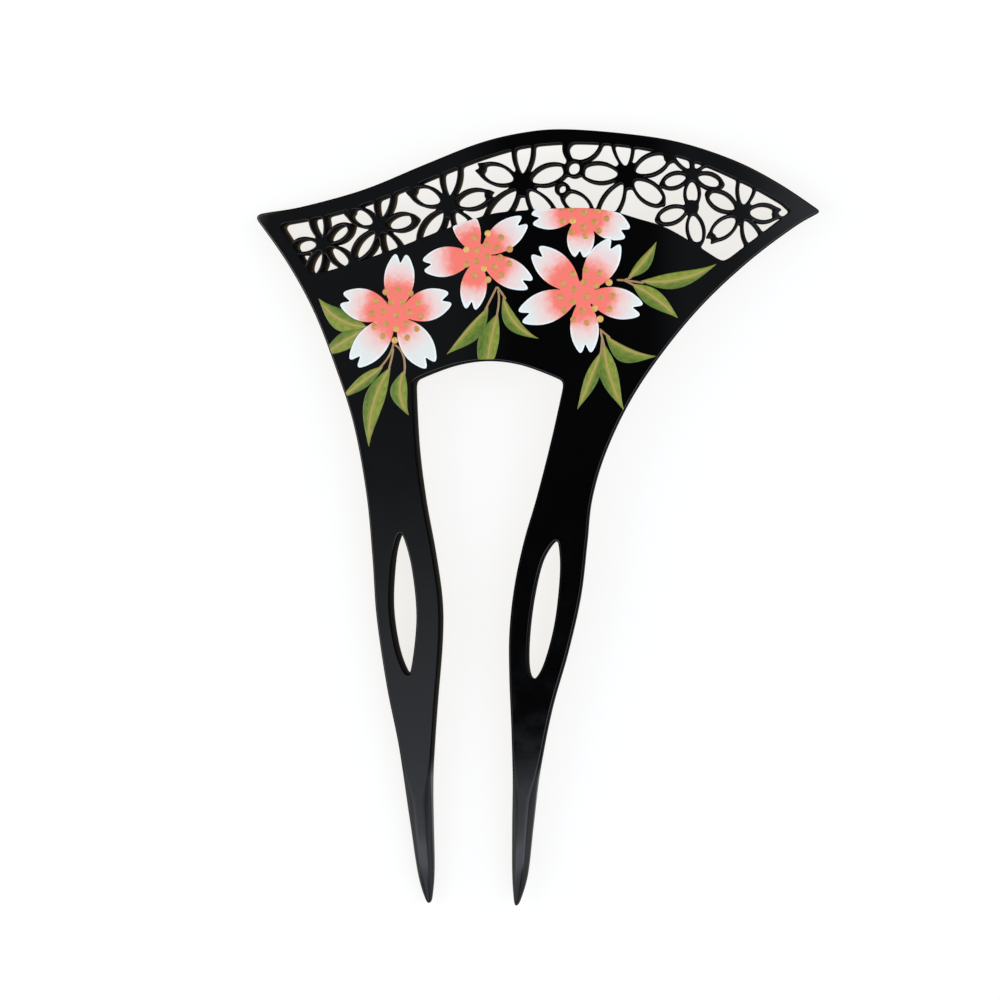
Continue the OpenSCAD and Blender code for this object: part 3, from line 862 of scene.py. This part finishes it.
def leaf_paint():
    """Olive green with a thin tan midrib, darker on the broad side, and tan stems. The streaks follow the
    blade, whose places along and across are in millimetres already."""
    shader = Shader("leaf_paint", Roughness=0.4, IOR=1.45)
    across = shader.fact("across")
    place = shader.node("ShaderNodeCombineXYZ", shader.math("MULTIPLY", shader.fact("along"), 0.4), across)
    streaks = shader.noise(1.6 * MM, 5, 0.6, place=place)
    patches = shader.step(streaks, 0.35, 0.65)
    light, dark = shader.blend(patches, LIGHT_GREEN), shader.blend(patches, DARK_GREEN)
    green = shader.mix(shader.step(shader.fact("broad"), -0.2, 0.75), light, dark)
    from_rib = shader.math("ABSOLUTE", across)
    glow = shader.step(from_rib, 0.15, 0.7, 0.5, 0)
    green = shader.mix(glow, green, rgb(YELLOW_GREEN))
    rib = shader.math("MULTIPLY", shader.step(from_rib, 0.08, 0.26, 0.85, 0), shader.fact("ribbed"))
    blade = shader.mix(rib, green, rgb(RIB_TAN))
    rim = shader.step(shader.fact("edge"), 0.08, 0.3, 0.35, 0)
    blade = shader.mix(rim, blade, rgb(RIM_GREEN))
    paint = shader.mix(shader.fact("stem"), blade, shader.blend(streaks, STEM_TAN))
    shader.feed(shader.surface.inputs["Base Color"], paint)
    shader.bump(shader.noise(1.6, 3), 0.12, 0.03)
    return shader.material


# Pieces

def thickness(y):
    """Thickness of the plate, thinning softly to the prongs' ends, and how fast it grows from there."""
    cone = 2 * (TIP_R + TIP_FLARE * np.maximum(y, 0))
    near, far = np.exp(-cone / TIP_BLEND), math.exp(-PLATE_T / TIP_BLEND)
    return -TIP_BLEND * np.log(near + far), 2 * TIP_FLARE * near / (near + far)


def wood_and_sheen_share(points):
    """How much wood and painted reflection of the floor show on the walls: most in the pierced band, none at
    the prongs' ends.
    """
    near = np.zeros(len(points), bool)
    for shift in ((WOOD_AND_SHEEN_REACH, 0), (-WOOD_AND_SHEEN_REACH, 0), (0, WOOD_AND_SHEEN_REACH), (0, -WOOD_AND_SHEEN_REACH)):
        near |= within(points + shift, BAND)
    return np.where(near, 1.0, WOOD_AND_SHEEN_ELSEWHERE) * (1 - tip_share(points[:, 1]))


def tip_share(y):
    """How far a section has turned from flat to round, 1 at the very tip."""
    t = np.clip((TIP_ROUND_Y - y) / TIP_ROUND_Y, 0, 1)
    return t * t * (3 - 2 * t)


def plate_piece(materials):
    loops = region_loops(plate_curves(), in_plate)
    outline = max(loops, key=area)
    lines, rims = [], []
    for loop in loops:
        step, rim = PIERCED_STEP, PIERCED_RIM
        if loop is outline:
            step, rim = OUTLINE_STEP, OUTLINE_RIM
        elif loop[:, 1].max() < SLOT_TOP_Y:
            step, rim = SLOT_STEP, SLOT_RIM
        lines.append(even(loop, step))
        rims.append(np.full(len(lines[-1]), rim))
    rims = np.concatenate(rims)
    flat = sheet(lines, lambda points: rims + TIP_RIM * tip_share(points[:, 1]), PLATE_GRID)
    y = flat["points"][:, 1]
    t, growth = thickness(y)
    share = tip_share(y)
    small = (1 - share) * np.minimum(flat["width"], OUTLINE_RIM)
    full = share * FULL_ROUND * t
    front_rise, back_rise = FRONT_RISE * small + full, BACK_RISE * small + full
    top = (PLATE_T - t) / 2
    made = solid(flat, top, PLATE_T - top, front_rise, back_rise, growth / 2)
    low = 1 - np.sin(flat["angle"])
    depth = np.concatenate([front_rise * low / t, 1 - back_rise * low / t])
    # bare is the share of wood and of painted floor reflection on the walls
    bare = wood_and_sheen_share(flat["points"])
    tip = np.clip(share / TIP_POLISHED, 0, 1)
    made["facts"] = dict(depth=depth, bare=np.tile(bare, 2), tip=np.tile(tip, 2))
    piece("lacquered_body", made, materials, "lacquer", "plate")


def paint_sheet(curves, inside, step=PAINT_STEP, rim=PAINT_RIM):
    lines = [even(loop, step) for loop in region_loops(curves, inside)]
    return sheet(lines, lambda points: np.full(len(points), rim), PAINT_GRID)


def edge_distance(flat):
    """Distance of each point of a sheet from its nearest edge."""
    rim = flat["points"][np.unique(flat["edges"])]
    result = np.empty(len(flat["points"]))
    for part in np.array_split(np.arange(len(result)), max(1, len(result) * len(rim) // PAIRS_AT_ONCE)):
        gap = flat["points"][part][:, None] - rim[None]
        result[part] = np.sqrt((gap**2).sum(axis=2).min(axis=1))
    return result


def painted(flat, height, **facts):
    """A raised coat of paint over a sheet."""
    count = len(flat["points"])
    made = solid(flat, np.full(count, -height), np.full(count, PAINT_SINK), np.full(count, height))
    made["facts"] = {key: np.concatenate([values, values]) for key, values in facts.items()}
    return made


def in_painted_area(points):
    return within(points, OUTLINE) & within(points, PAINT_EDGE) & ~within(points, BAND)


def in_blossom(points, name):
    """Which points one blossom covers. The right one lies over the one at the band."""
    covered = within_any(points, blossom_curves(name))
    if name == "band":
        covered &= ~within_any(points, blossom_curves("right"))
    return covered & in_painted_area(points)


def petal_facts(flat, name):
    """How far along its petal each point lies, and how far the petal's coral reaches."""
    row = BLOSSOMS[name]
    best = np.full(len(flat["points"]), np.inf)
    along, reach = np.zeros(len(best)), np.zeros(len(best))
    for angle, length, width, coral in row["petals"]:
        local = turned(flat["points"] - row["centre"], -angle)
        off = np.abs(local[:, 1]) / np.maximum(local[:, 0], PETAL_NEAR)
        off[local[:, 0] < 0] = BEHIND
        closer = off < best
        best = np.where(closer, off, best)
        along = np.where(closer, np.hypot(*local.T) / length, along)
        reach = np.where(closer, coral, reach)
    return along, reach


def blossom_pieces(name, petal_material, gold):
    node = "blossom_" + name
    curves = blossom_curves(name) + [BAND]
    if name == "band":
        curves += blossom_curves("right")
    flat = paint_sheet(curves, lambda points: in_blossom(points, name))
    along, reach = petal_facts(flat, name)
    coat = painted(flat, PETAL_H, along=along, reach=reach, edge=edge_distance(flat))
    piece("petals_" + name, coat, [petal_material], "blossom", node)
    drops = []
    for centre in stamen_centres(name):
        flat = drop_sheet(centre)
        if flat is not None:
            bare = 1.0 - within_any(np.array([centre]), blossom_curves(name))[0]
            drops.append(painted(flat, STAMEN_H, bare=np.full(len(flat["points"]), bare)))
    piece("stamens_" + name, fused(drops), [gold], "blossom", node)


def stamen_centres(name):
    row = BLOSSOMS[name]
    offset, *rings = row["stamens"]
    middle = np.add(row["centre"], offset)
    result = [middle]
    for radius, count, start in rings:
        result += [turned([(radius, 0)], i * 360 / count + start, middle)[0] for i in range(count)]
    return result


def drop_sheet(centre):
    """A stamen's disc, cut off where it would lie over the pierced band, or nothing if it all would."""
    disc = circle(centre, STAMEN_R, 18)
    loops = [disc]
    if within(disc, BAND).any():
        loops = region_loops([disc, BAND], lambda points: within(points, disc) & ~within(points, BAND))
    if not loops:
        return None
    return sheet(loops, lambda points: np.full(len(points), STAMEN_R), PAINT_GRID)


def leaf_frame(row):
    base, tip = np.array(row[0], float), np.array(row[1], float)
    along = tip - base
    return base, math.degrees(math.atan2(along[1], along[0])), float(np.hypot(*along))


def leaf_outline(row):
    base, angle, length = leaf_frame(row)
    _, _, left, right, bend = row
    t, half = spline(LEAF_HALF, 8).T
    middle = np.column_stack([length * t, bend * 4 * t * (1 - t)])
    side = np.column_stack([np.zeros(len(t)), half])
    return turned(np.vstack([middle + side * left, (middle - side * right)[-2:0:-1]]), angle, base)


def leaf_facts(flat, row):
    """Place along and across, how far out on the broad side, and where the midrib is drawn."""
    base, angle, length = leaf_frame(row)
    _, _, left, right, bend = row
    local = turned(flat["points"] - base, -angle)
    t = np.clip(local[:, 0] / length, 0, 1)
    across = local[:, 1] - bend * 4 * t * (1 - t)
    broad = across / left if left > right else -across / right
    ribbed = np.clip((RIB_END - t) / RIB_FADE, 0, 1)
    return dict(along=local[:, 0], across=across, broad=broad, ribbed=ribbed, stem=np.zeros(len(t)))


def spray_piece(name, material):
    row = SPRAYS[name]
    petals = [curve for blossom in BLOSSOMS for curve in blossom_curves(blossom)]

    def coat(outline, step, rim):
        def inside(points):
            return within(points, outline) & in_painted_area(points) & ~within_any(points, petals)
        return paint_sheet([outline, OUTLINE, PAINT_EDGE] + petals, inside, step, rim)

    coats = []
    for leaf, height in zip(row["leaves"], LEAF_HEIGHTS):
        flat = coat(leaf_outline(leaf), PAINT_STEP, PAINT_RIM)
        coats.append(painted(flat, height, edge=edge_distance(flat), **leaf_facts(flat, leaf)))
    for stem in row["stems"]:
        flat = coat(ribbon(stem, STEM_W), STEM_STEP, STEM_RIM)
        blank = np.zeros(len(flat["points"]))
        facts = dict(edge=blank, along=blank, across=blank, broad=blank, ribbed=blank, stem=blank + 1)
        coats.append(painted(flat, STEM_H, **facts))
    piece("spray_" + name, fused(coats), [material], "leaf", "leaves_" + name)


# Studio

CAMERA_YAW = math.radians(9.5)
CAMERA_AWAY = 600.0
PIXELS_PER_MM = 5.375
PICTURE_W = 1000
SENSOR_W = 36.0
CAMERA_TARGET = (2.4, 75.88, 0.0)
FLOOR_COLOUR = (0.2, 0.23, 0.27, 1)
FLOOR_GLOW = (0.82, 0.793, 0.752, 1)
SKY_COLOUR = (0.92, 0.99, 1.09, 1)
BOX_COLOUR = (1, 0.97, 0.93)
BOX_SIZE = (0.6, 0.9)
FLOOR_SIZE = 6

# Glow of the surroundings, as limits on a direction's x, y or z, with the strength at each where it isn't
# 0 and 1
DIM_GLOW = 0.15
FOOT_WIDE = (-0.12, -0.02, 0.6, 0)
FOOT_NARROW = (-0.19, -0.11, 1.15, 0)
FOOT_END = (-0.5, -0.34)
RIGHT_GLOW = (0.2, 0.42, 0, 0.7)
STRIP_LEFT = (-0.3, -0.18)
STRIP_RIGHT = (0.06, 0.14, 1, 0)
STRIP_FOOT = (-0.135, -0.12)
STRIP_HEAD = (-0.03, -0.02, 1, 0.95)
HORIZON_GLOW = (0.45, 0.75, 0.5, 0)


def camera():
    data = bpy.data.cameras.new("camera")
    data.sensor_width = SENSOR_W
    data.lens = PIXELS_PER_MM * CAMERA_AWAY * SENSOR_W / PICTURE_W
    data.clip_start = 0.05
    data.clip_end = 20
    thing = bpy.data.objects.new("camera", data)
    back = Vector((math.sin(CAMERA_YAW), 0, math.cos(CAMERA_YAW)))
    up = Vector((0, 1, 0))
    right = up.cross(back)
    turn = Matrix.Rotation(REST_PITCH, 3, "X") @ Matrix((right, up, back)).transposed()
    place = np.array([CAMERA_TARGET]) + np.array(back)[None] * CAMERA_AWAY
    thing.matrix_world = Matrix.Translation(Vector(at_rest(place)[0])) @ turn.to_4x4()
    bpy.context.scene.collection.objects.link(thing)
    bpy.context.scene.camera = thing


def softbox(name, place, power):
    """Soft light that faces the hairpin."""
    data = bpy.data.lights.new(name, "AREA")
    data.shape = "RECTANGLE"
    data.size, data.size_y = BOX_SIZE
    data.energy = power
    data.color = BOX_COLOUR
    thing = bpy.data.objects.new(name, data)
    thing.location = place
    thing.rotation_euler = (-Vector(place)).to_track_quat("-Z", "Y").to_euler()
    bpy.context.scene.collection.objects.link(thing)


def floor():
    """Pale table that glows a little, so that shadows under the pierced band stay light and warm."""
    bpy.ops.mesh.primitive_plane_add(size=FLOOR_SIZE, location=(0, 0, 0))
    thing = bpy.context.object
    thing.name = "floor"
    shader = Shader("floor", Roughness=0.9)
    shader.surface.inputs["Base Color"].default_value = FLOOR_COLOUR
    shader.surface.inputs["Specular IOR Level"].default_value = 0
    shader.surface.inputs["Emission Color"].default_value = FLOOR_GLOW
    shader.surface.inputs["Emission Strength"].default_value = 1
    thing.data.materials.append(shader.material)


def sky():
    """Soft studio surroundings: dim overhead with a darker strip, pale low down, bright beyond the prongs."""
    world = bpy.data.worlds.new("studio")
    bpy.context.scene.world = world
    world.use_nodes = True
    nodes = Nodes(world.node_tree)
    parts = nodes.tree.nodes.new("ShaderNodeSeparateXYZ")
    nodes.feed(parts.inputs[0], nodes.tree.nodes.new("ShaderNodeTexCoord").outputs["Generated"])
    x, y, z = parts.outputs
    foot = nodes.math("ADD", nodes.step(y, *FOOT_WIDE), nodes.step(y, *FOOT_NARROW))
    foot = nodes.math("MULTIPLY", foot, nodes.step(y, *FOOT_END))
    light = nodes.math("ADD", foot, nodes.math("ADD", nodes.step(x, *RIGHT_GLOW), DIM_GLOW))
    strip = nodes.math("MULTIPLY", nodes.step(x, *STRIP_LEFT), nodes.step(x, *STRIP_RIGHT))
    strip = nodes.math("MULTIPLY", strip, nodes.step(y, *STRIP_FOOT))
    strip = nodes.math("MULTIPLY", strip, nodes.step(y, *STRIP_HEAD))
    light = nodes.math("MULTIPLY", light, nodes.math("SUBTRACT", 1.0, strip))
    light = nodes.math("MAXIMUM", light, nodes.step(z, *HORIZON_GLOW))
    background = world.node_tree.nodes["Background"]
    background.inputs["Color"].default_value = SKY_COLOUR
    nodes.feed(background.inputs["Strength"], light)


def studio():
    camera()
    floor()
    sky()
    softbox("left_box", (-1.0, 0.1, 0.5), 5.4)
    softbox("right_box", (1.0, 0.3, 0.5), 4.1)
    bpy.context.scene.view_settings.view_transform = "Standard"


studio()
plate_piece([lacquer(), wall_lacquer()])
petal_material, gold, leaf_material = blossom_paint(), stamen_paint(), leaf_paint()
for blossom in BLOSSOMS:
    blossom_pieces(blossom, petal_material, gold)
for spray in SPRAYS:
    spray_piece(spray, leaf_material)
